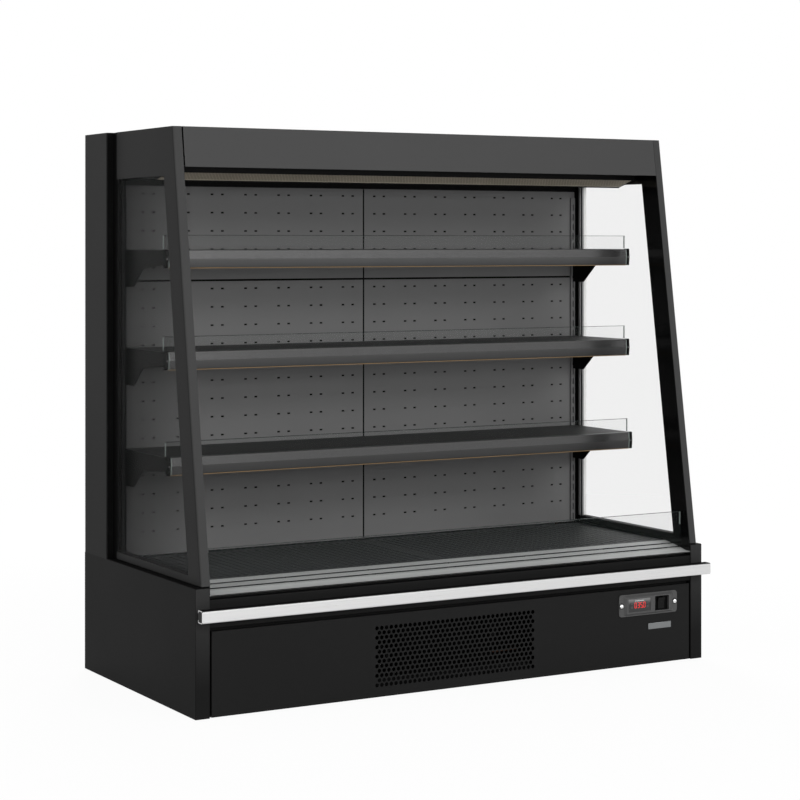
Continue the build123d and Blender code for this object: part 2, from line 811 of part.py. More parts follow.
with BuildPart() as refrigerant_pipes:
    coil_end = coil_x + 151
    discharge = [
        (shell_x + compressor_radius, shell_depth, 140),
        (shell_x + 120, shell_depth, 140),
        (shell_x + 120, 82.5, 140),
        (shell_x + 120, 82.5, 193.5),
        (coil_end, 82.5, 193.5),
    ]
    tube(discharge, 4, 14)
    liquid = [
        (coil_end, 82.5, 70.5),
        (220, 82.5, 70.5),
        (220, 480, 70.5),
        (714, 480, 70.5),
        (714, 640, 70.5),
        (714, 640, 350),
        (690.5, 640, 350),
    ]
    tube(liquid, 4, 12)
    suction = [
        (690.5, 640, 420),
        (727, 640, 420),
        (727, 640, 110),
        (727, 440, 110),
        (shell_x, 440, 110),
        (shell_x, shell_depth + compressor_radius, 110),
    ]
    tube(suction, 6, 14)
    with BuildSketch(face_plane(260, 220, 70.5)):
        Circle(12)
    extrude(amount=-120)
save(refrigerant_pipes, "refrigerant_pipes")

with BuildPart() as drip_tray:
    slab((-690, -430), (380, 640), (unit_floor, 92))
    slab((-688, -432), (382, 638), (unit_floor + 2, 93), mode=Mode.SUBTRACT)
save(drip_tray, "drip_tray")

with BuildPart() as electrical_box:
    slab((-745, -645), (650, 733), (unit_floor, 190))
    with BuildSketch(face_plane(732, gland_x, gland_z)):
        Circle(gland_thread)
    extrude(amount=-8)
    with BuildSketch(face_plane(737.5, gland_x, gland_z)):
        RegularPolygon(12, 6)
    extrude(amount=-5)
    with BuildSketch(face_plane(742, gland_x, gland_z)):
        Circle(9)
    extrude(amount=-7, taper=12)
    with BuildSketch(face_plane(732, gland_x, gland_z)):
        Circle(3.5)
    extrude(amount=-20, mode=Mode.SUBTRACT)
save(electrical_box, "electrical_box")

# ---- shelves: plate, brackets with hooks, price rail, riser glass ----

shelf_half = 754
plate_rear = 566
bracket_rear = 575
rail_height = 47
riser_height = 40
shelf_rows = ((1, 1182, 291, 1090), (2, 912, 291, 820), (3, 634, 277, 550))
for number, top, front, hook in shelf_rows:
    plate_front = front + 12
    with BuildPart() as shelf_plate:
        slab((-shelf_half, shelf_half), (plate_front, plate_rear), (top - 1.5, top))
        slab((-746, 746), (plate_front, plate_front + 1.5), (top - 40, top))
        slab((-746, 746), (plate_rear - 1.5, plate_rear), (top - 25, top))
    save(shelf_plate, f"shelf_{number}_plate")

    with BuildPart() as shelf_brackets:
        for side in (-1, 1):
            x = side * upright_x
            profile(
                [
                    (bracket_rear, top - 102),
                    (520, top - 102),
                    (458, top - 52),
                    (plate_front + 2, top - 40),
                    (plate_front + 2, top - 1.5),
                    (bracket_rear, top - 1.5),
                ],
                x - 1.5,
                x + 1.5,
            )
            for step in (0, 2 * hook_pitch):
                slab((x - 1.5, x + 1.5), (bracket_rear, 583), (hook + step + 0.3, hook + step + 7.3))
                slab((x - 1.5, x + 1.5), (579, 583), (hook + step - 5.7, hook + step + 1))
    save(shelf_brackets, f"shelf_{number}_brackets")

    with BuildPart() as shelf_price_rail:
        folded(
            [
                (plate_front, top - rail_height),
                (front + 2, top - rail_height),
                (front, top - 24),
                (front + 2, top),
                (plate_front, top),
            ],
            -shelf_half,
            shelf_half,
            bend=1.6,
            thickness=1.5,
        )
    save(shelf_price_rail, f"shelf_{number}_price_rail")

    with BuildPart() as shelf_riser:
        slab((-752, 752), (front + 19, front + 24.5), (top, top + riser_height))
    save(shelf_riser, f"shelf_{number}_riser")
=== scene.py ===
import math
import bmesh
import bpy
from mathutils import Matrix, Vector


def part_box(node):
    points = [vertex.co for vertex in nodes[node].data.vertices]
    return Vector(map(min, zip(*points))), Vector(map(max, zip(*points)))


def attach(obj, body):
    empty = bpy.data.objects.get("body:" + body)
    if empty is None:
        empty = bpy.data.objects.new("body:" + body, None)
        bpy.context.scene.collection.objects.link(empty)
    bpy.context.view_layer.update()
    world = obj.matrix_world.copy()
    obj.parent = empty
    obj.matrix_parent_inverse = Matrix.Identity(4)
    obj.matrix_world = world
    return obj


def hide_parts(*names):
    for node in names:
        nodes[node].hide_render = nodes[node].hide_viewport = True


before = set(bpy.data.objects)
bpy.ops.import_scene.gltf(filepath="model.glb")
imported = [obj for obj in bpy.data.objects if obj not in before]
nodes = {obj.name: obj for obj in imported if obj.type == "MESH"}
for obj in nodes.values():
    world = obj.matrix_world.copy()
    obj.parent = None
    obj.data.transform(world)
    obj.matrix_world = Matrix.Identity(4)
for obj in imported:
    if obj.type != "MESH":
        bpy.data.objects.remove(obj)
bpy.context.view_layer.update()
print("frame loaded,", len(nodes), "nodes")


def linear(hexColour):
    # sRGB hex to linear
    parts = [int(hexColour[i:i + 2], 16) / 255 for i in (1, 3, 5)]
    return tuple(c / 12.92 if c <= 0.04045 else ((c + 0.055) / 1.055) ** 2.4 for c in parts) + (1,)


def setInputs(tree, node, **inputs):
    # inputs go by name, or by number as in0, in1; each is a value, a socket, or a node for its first output
    for key, value in inputs.items():
        numbered = key[:2] == "in" and key[2:].isdigit()
        socket = node.inputs[int(key[2:]) if numbered else key.replace("_", " ")]
        if isinstance(value, bpy.types.Node):
            value = value.outputs[0]
        if isinstance(value, bpy.types.NodeSocket):
            tree.links.new(value, socket)
        else:
            socket.default_value = value


def addNode(tree, kind, settings=None, **inputs):
    # settings are the node's own properties
    node = tree.nodes.new(kind)
    for key, value in (settings or {}).items():
        setattr(node, key, value)
    setInputs(tree, node, **inputs)
    return node


def newMaterial(name):
    # a new material with its shader and the object's own coordinates
    material = bpy.data.materials.new(name)
    material.use_nodes = True
    tree = material.node_tree
    shader = tree.nodes["Principled BSDF"]
    place = addNode(tree, "ShaderNodeTexCoord").outputs["Object"]
    return material, tree, shader, place


# ---- camera: level, long lens, moved down by shift as in a product picture ----
cameraView = {"place": (-3.0048, -5.1989, 1.2043), "turn": -30.02, "lens": 94.93, "sensor": 36,
              "shift": (-0.0006, -0.198), "farthest": 60}
cameraData = bpy.data.cameras.new("camera")
cameraData.lens = cameraView["lens"]
cameraData.sensor_width = cameraView["sensor"]
cameraData.shift_x, cameraData.shift_y = cameraView["shift"]
cameraData.clip_end = cameraView["farthest"]
camera = bpy.data.objects.new("camera", cameraData)
camera.location = cameraView["place"]
camera.rotation_euler = (math.radians(90), 0, math.radians(cameraView["turn"]))
scene = bpy.context.scene
scene.collection.objects.link(camera)
scene.camera = camera

# ---- studio: pale floor, even world, six soft boxes ----
studio = {
    "worldLight": 0.34,  # the world's light on matt surfaces; camera, gloss and glass see it at full white
    "floorShade": "#f4f4f4",
    "floorHalf": 9,  # half its width, in metres
    "floorWhite": 0.94,  # the share of backdrop white that the paper shows by the cabinet
    "floorFade": (2.2, 4.2),  # metres from the middle, over which that share grows to one
    "floorGloss": 0.45,  # the part of it which gloss shows
    "footprint": {"X": (0, 0.77), "Y": (0.02, 0.36)},  # middle and half size of the dark patch below
    "footprintEdge": 0.97,  # where the patch starts to give way, as a share of its half size
}
scene.view_settings.view_transform = "Standard"
world = bpy.data.worlds.new("studio")
scene.world = world
world.use_nodes = True
worldTree = world.node_tree
path = addNode(worldTree, "ShaderNodeLightPath")
seen = addNode(worldTree, "ShaderNodeMath", {"operation": "MAXIMUM"},
               in0=path.outputs["Is Camera Ray"], in1=path.outputs["Is Glossy Ray"])
seen = addNode(worldTree, "ShaderNodeMath", {"operation": "MAXIMUM"},
               in0=seen, in1=path.outputs["Is Transmission Ray"])
level = addNode(worldTree, "ShaderNodeMapRange", None, Value=seen, To_Min=studio["worldLight"])
setInputs(worldTree, worldTree.nodes["Background"], Color=(1, 1, 1, 1), Strength=level)

floorMesh = bpy.data.meshes.new("floor")
half = studio["floorHalf"]
corners = [(-half, -half, 0), (half, -half, 0), (half, half, 0), (-half, half, 0)]
floorMesh.from_pydata(corners, [], [(0, 1, 2, 3)])
floor = bpy.data.objects.new("floor", floorMesh)
scene.collection.objects.link(floor)
floorPaint, tree, shader, place = newMaterial("paperRollFloor")
setInputs(tree, shader, Base_Color=linear(studio["floorShade"]), Roughness=0.95, Specular_IOR_Level=0.1)
path = addNode(tree, "ShaderNodeLightPath")
glow = addNode(tree, "ShaderNodeEmission", None, Strength=1.0)
# near the cabinet the paper keeps a soft shadow, further out it runs into the white backdrop
reach = addNode(tree, "ShaderNodeVectorMath", {"operation": "LENGTH"}, in0=place)
near, far = studio["floorFade"]
fade = addNode(tree, "ShaderNodeMapRange", {"interpolation_type": "SMOOTHSTEP"},
               Value=reach.outputs["Value"], From_Min=near, From_Max=far, To_Min=studio["floorWhite"])
dimmed = addNode(tree, "ShaderNodeMath", {"operation": "MULTIPLY"}, in0=path.outputs["Is Glossy Ray"],
                 in1=studio["floorGloss"])
seen = addNode(tree, "ShaderNodeMath", {"operation": "MAXIMUM"}, in0=path.outputs["Is Camera Ray"],
               in1=dimmed)
share = addNode(tree, "ShaderNodeMath", {"operation": "MULTIPLY"}, in0=seen, in1=fade)
# under the cabinet the paper is left in the dark
parts = addNode(tree, "ShaderNodeSeparateXYZ", None, Vector=place)
fromMiddle = []
for axis, (middle, half) in studio["footprint"].items():
    offset = addNode(tree, "ShaderNodeMath", {"operation": "SUBTRACT"}, in0=parts.outputs[axis], in1=middle)
    offset = addNode(tree, "ShaderNodeMath", {"operation": "ABSOLUTE"}, in0=offset)
    fromMiddle.append(addNode(tree, "ShaderNodeMath", {"operation": "DIVIDE"}, in0=offset, in1=half))
farther = addNode(tree, "ShaderNodeMath", {"operation": "MAXIMUM"}, in0=fromMiddle[0], in1=fromMiddle[1])
outside = addNode(tree, "ShaderNodeMapRange", None, Value=farther, From_Min=studio["footprintEdge"])
share = addNode(tree, "ShaderNodeMath", {"operation": "MULTIPLY"}, in0=share, in1=outside)
mix = addNode(tree, "ShaderNodeMixShader", None, in0=share, in1=shader, in2=glow)
setInputs(tree, tree.nodes["Material Output"], Surface=mix)
floorMesh.materials.append(floorPaint)

# each soft box: watts, place, width and height, and the point it looks at
softBoxes = {
    "keyBox": (42, (-1.3, -3.9, 2.3), (2.6, 1.6), (0, 0, 1.0)),
    "frontBox": (78, (-0.6, -5.2, 1.5), (3.0, 1.2), (0, 0, 0.9)),
    "highBox": (105, (2.9, -5.3, 3.5), (3.0, 1.4), (0, 0, 1.0)),  # seen in the leaning faces
    "sideBox": (40, (-3.6, -0.6, 2.7), (2.0, 1.6), (-0.8, 0, 1.1)),
    "backBox": (170, (1.6, 4.6, 2.8), (2.4, 1.6), (0, 0, 0.8)),
    "fillBox": (30, (3.8, 0.9, 2.2), (2.0, 1.6), (0.8, 0, 0.8)),
}
for name, (watts, place, size, aim) in softBoxes.items():
    data = bpy.data.lights.new(name, "AREA")
    data.energy = watts
    data.shape = "RECTANGLE"
    data.size, data.size_y = size
    light = bpy.data.objects.new(name, data)
    light.location = place
    light.rotation_euler = (Vector(aim) - Vector(place)).to_track_quat("-Z", "Y").to_euler()
    light.visible_camera = False
    scene.collection.objects.link(light)
print("studio ready")


# ---- finishes; fade is (from, to, share): painted shade, the colour grows from that share at the first place to full ----
def paintedSteel(name, shade, roughness=0.5, specular=0.1, peel=2.4, peelDepth=0.03, wear=0.08,
                 frontPaintedShade=None, fadeAxis="Z", fade=None):
    # polyester powder coat baked on steel sheet: a fine orange peel, sized in millimetres, breaks up
    # the soft sheen, and wiping leaves patches about 450 mm wide that are a little shinier
    material, tree, shader, place = newMaterial(name)
    grain = addNode(tree, "ShaderNodeTexNoise", None, Vector=place, Scale=1000 / peel, Detail=2.0)
    cloud = addNode(tree, "ShaderNodeTexNoise", None, Vector=place, Scale=2.2, Detail=3.0)
    tone = addNode(tree, "ShaderNodeMapRange", None, Value=cloud, To_Min=1 - wear, To_Max=1 + wear)
    lit = tone
    # painted shade: the fade darkens the coat towards one end along its axis
    if fade:
        parts = addNode(tree, "ShaderNodeSeparateXYZ", None, Vector=place)
        depth = addNode(tree, "ShaderNodeMapRange", None, Value=parts.outputs[fadeAxis], From_Min=fade[0],
                        From_Max=fade[1], To_Min=fade[2])
        lit = addNode(tree, "ShaderNodeMath", {"operation": "MULTIPLY"}, in0=tone, in1=depth)
    colour = addNode(tree, "ShaderNodeVectorMath", {"operation": "SCALE"}, in0=linear(shade)[:3],
                     Scale=tone if frontPaintedShade else lit)
    if frontPaintedShade:
        # painted light and shade: the faces that look forward get a colour of their own, set for each coat,
        # standing in for how the light falls on them
        surface = addNode(tree, "ShaderNodeNewGeometry")
        facing = addNode(tree, "ShaderNodeSeparateXYZ", None, Vector=surface.outputs["Normal"])
        front = addNode(tree, "ShaderNodeMapRange", {"interpolation_type": "SMOOTHSTEP"},
                        Value=facing.outputs["Y"], From_Min=-0.2, From_Max=-0.95)
        frontColour = addNode(tree, "ShaderNodeVectorMath", {"operation": "SCALE"},
                              in0=linear(frontPaintedShade)[:3], Scale=lit)
        colour = addNode(tree, "ShaderNodeMix", {"data_type": "VECTOR"}, Factor=front, in4=colour,
                         in5=frontColour).outputs[1]
    both = addNode(tree, "ShaderNodeMath", {"operation": "ADD"}, in0=grain, in1=cloud)
    rough = addNode(tree, "ShaderNodeMapRange", None, Value=both, From_Max=2.0,
                    To_Min=roughness - 0.12, To_Max=roughness + 0.12)
    bump = addNode(tree, "ShaderNodeBump", None, Height=grain, Strength=0.25, Distance=peelDepth / 1000)
    setInputs(tree, shader, Base_Color=colour, Roughness=rough, Normal=bump, Specular_IOR_Level=specular)
    return material


def mouldedPlastic(name, shade, roughness=0.45, specular=0.2, grainSize=0.8, grainDepth=0.02, rubSize=25,
                   fade=None):
    # moulded or extruded plastic: an even spark-eroded grain, a little shinier in the places that
    # hands rub; all three sizes are in millimetres
    material, tree, shader, place = newMaterial(name)
    cells = addNode(tree, "ShaderNodeTexVoronoi", None, Vector=place, Scale=1000 / grainSize)
    rubbed = addNode(tree, "ShaderNodeTexNoise", None, Vector=place, Scale=1000 / rubSize)
    rough = addNode(tree, "ShaderNodeMapRange", None, Value=rubbed,
                    To_Min=max(roughness - 0.03, 0.02), To_Max=roughness + 0.03)
    bump = addNode(tree, "ShaderNodeBump", None, Height=cells, Strength=0.3, Distance=grainDepth / 1000)
    tone = addNode(tree, "ShaderNodeMapRange", None, Value=rubbed, To_Min=0.97, To_Max=1.03)
    # painted shade: the fade darkens the plastic towards the bottom
    if fade:
        parts = addNode(tree, "ShaderNodeSeparateXYZ", None, Vector=place)
        depth = addNode(tree, "ShaderNodeMapRange", None, Value=parts.outputs["Z"], From_Min=fade[0],
                        From_Max=fade[1], To_Min=fade[2])
        tone = addNode(tree, "ShaderNodeMath", {"operation": "MULTIPLY"}, in0=tone, in1=depth)
    colour = addNode(tree, "ShaderNodeVectorMath", {"operation": "SCALE"}, in0=linear(shade)[:3], Scale=tone)
    setInputs(tree, shader, Base_Color=colour, Roughness=rough, Normal=bump, Specular_IOR_Level=specular)
    return material


def filmWithPaintedSheen(name, lowShade, highShade, low, high):
    # printed polyester film over the display: a painted highlight, a soft grey sheen in the colour that
    # fades downwards from high to low, and a matt texture about 0.7 mm coarse
    material, tree, shader, place = newMaterial(name)
    parts = addNode(tree, "ShaderNodeSeparateXYZ", None, Vector=place)
    paintedSheen = addNode(tree, "ShaderNodeMapRange", None, Value=parts.outputs["Z"], From_Min=low, From_Max=high)
    ramp = addNode(tree, "ShaderNodeMix", {"data_type": "RGBA"}, in0=paintedSheen, in6=linear(lowShade),
                   in7=linear(highShade))
    matt = addNode(tree, "ShaderNodeTexNoise", None, Vector=place, Scale=1500.0)
    bump = addNode(tree, "ShaderNodeBump", None, Height=matt, Strength=0.1, Distance=0.00005)
    setInputs(tree, shader, Base_Color=ramp.outputs[2], Roughness=0.4, Normal=bump, Specular_IOR_Level=0.2)
    return material


def brushedMetal(name, shade, roughness=0.28, lineWidth=0.6, lineLength=250, along=0, paintedTopShade=None):
    # metal brushed or drawn along one axis: long fine scratches, sized in millimetres, spread
    # the highlight across them
    material, tree, shader, place = newMaterial(name)
    stretch = [1000 / lineWidth] * 3
    stretch[along] = 1000 / lineLength
    lines = addNode(tree, "ShaderNodeMapping", None, Vector=place, Scale=stretch)
    scratch = addNode(tree, "ShaderNodeTexNoise", None, Vector=lines, Scale=1.0, Detail=3.0)
    tone = addNode(tree, "ShaderNodeMapRange", None, Value=scratch, To_Min=0.88, To_Max=1.06)
    colour = addNode(tree, "ShaderNodeVectorMath", {"operation": "SCALE"}, in0=linear(shade)[:3], Scale=tone)
    if paintedTopShade:
        # painted shade: faces that look up, as the rolled top edge, get a dark colour that dims their
        # reflection
        surface = addNode(tree, "ShaderNodeNewGeometry")
        facing = addNode(tree, "ShaderNodeSeparateXYZ", None, Vector=surface.outputs["Normal"])
        upward = addNode(tree, "ShaderNodeMapRange", {"interpolation_type": "SMOOTHSTEP"},
                         Value=facing.outputs["Z"], From_Min=0.1, From_Max=0.5)
        colour = addNode(tree, "ShaderNodeMix", {"data_type": "VECTOR"}, Factor=upward, in4=colour,
                         in5=linear(paintedTopShade)[:3]).outputs[1]
    rough = addNode(tree, "ShaderNodeMapRange", None, Value=scratch,
                    To_Min=roughness - 0.08, To_Max=roughness + 0.08)
    bump = addNode(tree, "ShaderNodeBump", None, Height=scratch, Strength=0.12, Distance=0.00005)
    setInputs(tree, shader, Base_Color=colour, Metallic=1, Roughness=rough, Normal=bump)
    return material


def floatGlass(name, tint, veil, specular=0.4):
    # toughened float glass, clear: seen straight through with a faint grey-green veil and a clean gloss,
    # here and there a shade duller over 110 mm
    material, tree, shader, place = newMaterial(name)
    haze = addNode(tree, "ShaderNodeTexNoise", None, Vector=place, Scale=9.0, Detail=2.0)
    rough = addNode(tree, "ShaderNodeMapRange", None, Value=haze, From_Min=0.45, To_Min=0.02, To_Max=0.05)
    setInputs(tree, shader, Base_Color=linear(tint), Roughness=rough, IOR=1.5, Alpha=veil,
              Specular_IOR_Level=specular)
    return material


def glossEnamel(name, shade, roughness=0.14, specular=0.3):
    # stoved gloss enamel: near black, with a dim mirror of what stands by it, a little uneven where
    # the coat flowed, about every 17 mm
    material, tree, shader, place = newMaterial(name)
    flow = addNode(tree, "ShaderNodeTexNoise", None, Vector=place, Scale=60.0, Detail=1.0)
    tone = addNode(tree, "ShaderNodeMapRange", None, Value=flow, To_Min=0.85, To_Max=1.15)
    colour = addNode(tree, "ShaderNodeVectorMath", {"operation": "SCALE"}, in0=linear(shade)[:3], Scale=tone)
    bump = addNode(tree, "ShaderNodeBump", None, Height=flow, Strength=0.05, Distance=0.0001)
    setInputs(tree, shader, Base_Color=colour, Roughness=roughness, Normal=bump, Specular_IOR_Level=specular)
    return material


def litLamp(name, shade, strength):
    # a lamp behind a tinted window: one colour that varies a little, about every 3 mm
    material, tree, shader, place = newMaterial(name)
    glowing = addNode(tree, "ShaderNodeTexNoise", None, Vector=place, Scale=300.0)
    tone = addNode(tree, "ShaderNodeMapRange", None, Value=glowing, To_Min=0.85, To_Max=1.1)
    colour = addNode(tree, "ShaderNodeVectorMath", {"operation": "SCALE"}, in0=linear(shade)[:3], Scale=tone)
    setInputs(tree, shader, Base_Color=colour, Roughness=0.3, Emission_Color=colour,
              Emission_Strength=strength)
    return material


paint = {
    # painted light: forward-looking faces a shade lighter than the rest
    "baseSheet": paintedSteel("powderCoatBlackBase", "#131313", specular=0.04, frontPaintedShade="#191919"),
    # painted light and shade: the fronts much lighter than the sides, darkening towards the floor
    "baseEnds": paintedSteel("powderCoatBaseEnds", "#0f0f0f", specular=0.04, frontPaintedShade="#2f2f2f",
                             fade=(0.08, 0.31, 0.3)),
    "servicePanel": paintedSteel("powderCoatServicePanel", "#1b1b1b", specular=0.05),
    # painted highlight: the posts' forward faces lighter than their sides
    "sideFrame": paintedSteel("powderCoatSideFrame", "#202020", specular=0.05, frontPaintedShade="#3a3a3a"),
    # painted shade: darker towards the bottom
    "cheek": paintedSteel("powderCoatCheek", "#242424", specular=0.04, fade=(0.3, 0.75, 0.7)),
    # painted light and shade: the front face lighter, the underside and edges near black
    "fascia": paintedSteel("powderCoatFascia", "#080808", specular=0.2, frontPaintedShade="#313131"),
    # painted shade: darker towards the left end
    "backWall": paintedSteel("powderCoatBackWall", "#6b6b6b", specular=0.06, fadeAxis="X",
                             fade=(-0.75, -0.54, 0.36)),
    "inside": paintedSteel("powderCoatInside", "#222222"),
    # painted shade: the nose and the slats' forward edges near black
    "lip": paintedSteel("powderCoatLip", "#b2b4b3", roughness=0.42, specular=0.2, frontPaintedShade="#1a1a1a"),
    "deck": paintedSteel("powderCoatDeck", "#343536"),
    "canopy": paintedSteel("powderCoatCanopyInside", "#0c0c0c", specular=0.05),
    "black": paintedSteel("powderCoatBlackBracket", "#0c0c0c", specular=0.05),
}
plastic = {
    "bezel": mouldedPlastic("absControlBezel", "#494949", specular=0.15),
    "black": mouldedPlastic("absBlack", "#0c0c0c", specular=0.1),
    "seal": mouldedPlastic("epdmRubberSeal", "#060606", roughness=0.6, specular=0.04),
    "beige": mouldedPlastic("polycarbonateHoneycomb", "#989183"),
    "tank": mouldedPlastic("hipsTankLiner", "#101010"),
    "ticket": mouldedPlastic("pvcTicketStrip", "#1c1c1c", roughness=0.24, specular=0.85, grainDepth=0.002),
    "sealant": mouldedPlastic("polysulphideSealant", "#f0f0ee", roughness=0.7),
    # painted reflection: the dark matt strip on the bumper's top
    "paintedTopReflection": mouldedPlastic("pvcBumperPaintedReflection", "#161616", roughness=0.7, specular=0.0),
    "screen": mouldedPlastic("nylonAirScreen", "#746e62", roughness=0.8),
    "rim": mouldedPlastic("absSwitchRim", "#5c5c5c", roughness=0.35),
    "amber": mouldedPlastic("pvcTicketFoot", "#7a6448", roughness=0.35),
    "film": filmWithPaintedSheen("smokedDisplayFilm", "#343434", "#747474", 0.178, 0.191),
}
metal = {
    # painted shade on the bumper's faces that look up
    "bumper": brushedMetal("brushedStainlessBumper", "#dadada", 0.3, paintedTopShade="#3c3c3c"),
    "chrome": brushedMetal("chromePlatedScrew", "#f0f0f0", 0.25),
    "zincScrew": brushedMetal("blackZincScrew", "#4a4a4a", 0.4),
    "fins": brushedMetal("aluminiumFinStock", "#b9bcc0", 0.4, along=2),
    "coatedFins": brushedMetal("epoxyCoatedFins", "#171717", 0.6, along=2),
    # painted shade: the copper is darkened so that it shows little in the dark inside the base
    "copper": brushedMetal("darkenedCopperTube", "#4a3226", 0.5),
    "zinc": brushedMetal("galvanisedFanPlate", "#9a9d9f", 0.5),
    "spacer": brushedMetal("anodisedAluminiumSpacer", "#8c8c8c", 0.45, along=2),
    "badge": brushedMetal("satinAluminiumBadge", "#7c7e7f", 0.4),
}
glass = {
    "side": floatGlass("floatGlassSide", "#1c211f", 0.035, 0.08),
    # painted shade: the left pane's veil is darker and thicker than the right's, darkening the inside seen
    # through it
    "sideNear": floatGlass("floatGlassSideShaded", "#121614", 0.07, 0.08),
    "riser": floatGlass("floatGlassRiser", "#3c423f", 0.04),
    "deckRiser": floatGlass("floatGlassDeckRiser", "#3c4240", 0.06, 0.2),
    "edge": floatGlass("polishedGlassEdge", "#2e3634", 0.55),
    "endEdge": floatGlass("polishedGlassEndEdge", "#9aa6a1", 0.75),
}
enamel = {"inner": glossEnamel("glossEnamelInnerSide", "#050505", specular=0.2)}
lamp = {
    "digits": litLamp("redDigitLamp", "#e01c16", 1.0),
    "marks": litLamp("whiteMarkLamp", "#d4d4d4", 0.7),
    "canopy": litLamp("opalAcrylicLamp", "#dcdcd8", 0.5),
}

finishOf = {
    # base
    "base_side_panel_left": paint["baseEnds"], "base_side_panel_right": paint["baseEnds"],
    "base_front_rail": paint["baseSheet"], "front_service_panel": paint["servicePanel"],
    "base_frame": paint["black"], "rear_base_cover": paint["black"], "levelling_feet": plastic["black"],
    "bumper_rail": metal["bumper"], "bumper_brackets": paint["black"], "insulated_tank": plastic["tank"],
    # sides, back and canopy
    "rear_wall_panel": paint["cheek"], "roof_panel": paint["cheek"],
    "back_box_cheek_left": paint["cheek"], "back_box_cheek_right": paint["cheek"],
    "side_frame_left": paint["sideFrame"], "side_frame_right": paint["sideFrame"],
    "side_glass_left": glass["sideNear"], "side_glass_right": glass["side"],
    "side_seal_strips": plastic["seal"], "front_fascia": paint["fascia"], "canopy_ceiling": paint["canopy"],
    "air_discharge_honeycomb": plastic["beige"], "canopy_lamp": lamp["canopy"],
    # display space
    "back_panels": paint["backWall"], "shelf_uprights": paint["backWall"],
    "return_air_grille": paint["lip"], "deck_riser_glass": glass["deckRiser"],
    "deck_pan_left": paint["deck"], "deck_pan_right": paint["deck"],
    # machine
    "evaporator_coil": metal["fins"], "evaporator_fan_plate": metal["zinc"],
    "evaporator_fan_left": plastic["black"], "evaporator_fan_right": plastic["black"],
    "compressor": paint["black"], "condenser_coil": metal["coatedFins"], "condenser_fan": plastic["black"],
    "condenser_fan_shroud": paint["black"], "refrigerant_pipes": metal["copper"],
    "drip_tray": plastic["tank"], "electrical_box": plastic["bezel"],
    # controls
    "control_bezel": plastic["bezel"], "bezel_screws": metal["chrome"], "display_module": plastic["film"],
    "rocker_switch": plastic["black"],
}
railShades = ("#3e3e3e", "#333333", "#2a2a2a")  # the lower the shelf, the less light on its rail
for number, railShade in enumerate(railShades, 1):
    finishOf[f"shelf_{number}_plate"] = paint["inside"]
    finishOf[f"shelf_{number}_brackets"] = paint["black"]
    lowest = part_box(f"shelf_{number}_price_rail")[0].z
    # painted shade: the lower part of each rail darkens over its lowest 24 mm
    finishOf[f"shelf_{number}_price_rail"] = mouldedPlastic(
        f"pvcPriceRail{number}", railShade, roughness=0.3, specular=0.42, grainDepth=0.002,
        fade=(lowest, lowest + 0.024, 0.3))
    finishOf[f"shelf_{number}_riser"] = glass["riser"]
for name in nodes:
    finish = finishOf.get(name, plastic["bezel"])  # the controller's keys are moulded as its bezel is
    slots = nodes[name].material_slots
    if not slots:
        nodes[name].data.materials.append(finish)
    for materialSlot in slots:
        materialSlot.material = finish
print("finishes laid on")


# ---- tools for the pieces; all sizes below are in millimetres ----
frontPlane = -355  # y of the base's front


def back(depth):
    # depth behind the base's front, as the cabinet's y
    return depth + frontPlane


def prism(shape, outline, low, high, axis=0):
    # a closed outline swept straight along one axis, with both ends capped
    rings = []
    for along in (low, high):
        ring = []
        for pair in outline:
            point = list(pair)
            point.insert(axis, along)
            ring.append(shape.verts.new(point))
        rings.append(ring)
    count = len(outline)
    for i in range(count):
        j = (i + 1) % count
        shape.faces.new((rings[0][i], rings[0][j], rings[1][j], rings[1][i]))
    shape.faces.new(rings[0])
    shape.faces.new(rings[1][::-1])


def bothHands(shape, outline, near, far):
    # the same block at the left and at the right, from near to far off the middle
    for hand in (-1, 1):
        prism(shape, outline, *sorted((hand * near, hand * far)))


def turned(shape, outline, centre, steps=24):
    # an outline of (radius, y) pairs turned about an axis along y; a radius of 0 closes to a pole
    rings = []
    for radius, along in outline:
        turns = [0] if radius == 0 else [2 * math.pi * k / steps for k in range(steps)]
        rings.append([shape.verts.new((centre[0] + radius * math.cos(t), centre[1] + along,
                                       centre[2] + radius * math.sin(t))) for t in turns])
    for one, other in zip(rings, rings[1:]):
        for k in range(steps):
            j = (k + 1) % steps
            corners = [one[k % len(one)], one[j % len(one)], other[j % len(other)], other[k % len(other)]]
            corners = [c for i, c in enumerate(corners) if c not in corners[:i]]
            if len(corners) > 2:
                shape.faces.new(corners)


def roundedOutline(centre, size, radius, steps=5):
    # the points around a plate with round corners, in the plane across the sweep
    points = []
    for quarter, (sx, sz) in enumerate(((1, 1), (-1, 1), (-1, -1), (1, -1))):
        for k in range(steps + 1):
            turn = math.pi / 2 * (quarter + k / steps)
            points.append((centre[0] + sx * (size[0] / 2 - radius) + radius * math.cos(turn),
                           centre[1] + sz * (size[1] / 2 - radius) + radius * math.sin(turn)))
    return points


def newPiece(name, shape, material, body=None, edge=0):
    # the mesh in metres, its faces outward, with soft edges of that width
    bmesh.ops.recalc_face_normals(shape, faces=shape.faces)
    bmesh.ops.scale(shape, vec=(0.001, 0.001, 0.001), verts=shape.verts)
    mesh = bpy.data.meshes.new(name)
    shape.to_mesh(mesh)
    shape.free()
    mesh.materials.append(material)
    piece = bpy.data.objects.new(name, mesh)
    scene.collection.objects.link(piece)
    if edge:
        soft = piece.modifiers.new("softEdge", "BEVEL")
        soft.width = edge / 1000
        soft.segments = 2
        soft.limit_method = "ANGLE"
    if body:
        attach(piece, body)
    return piece


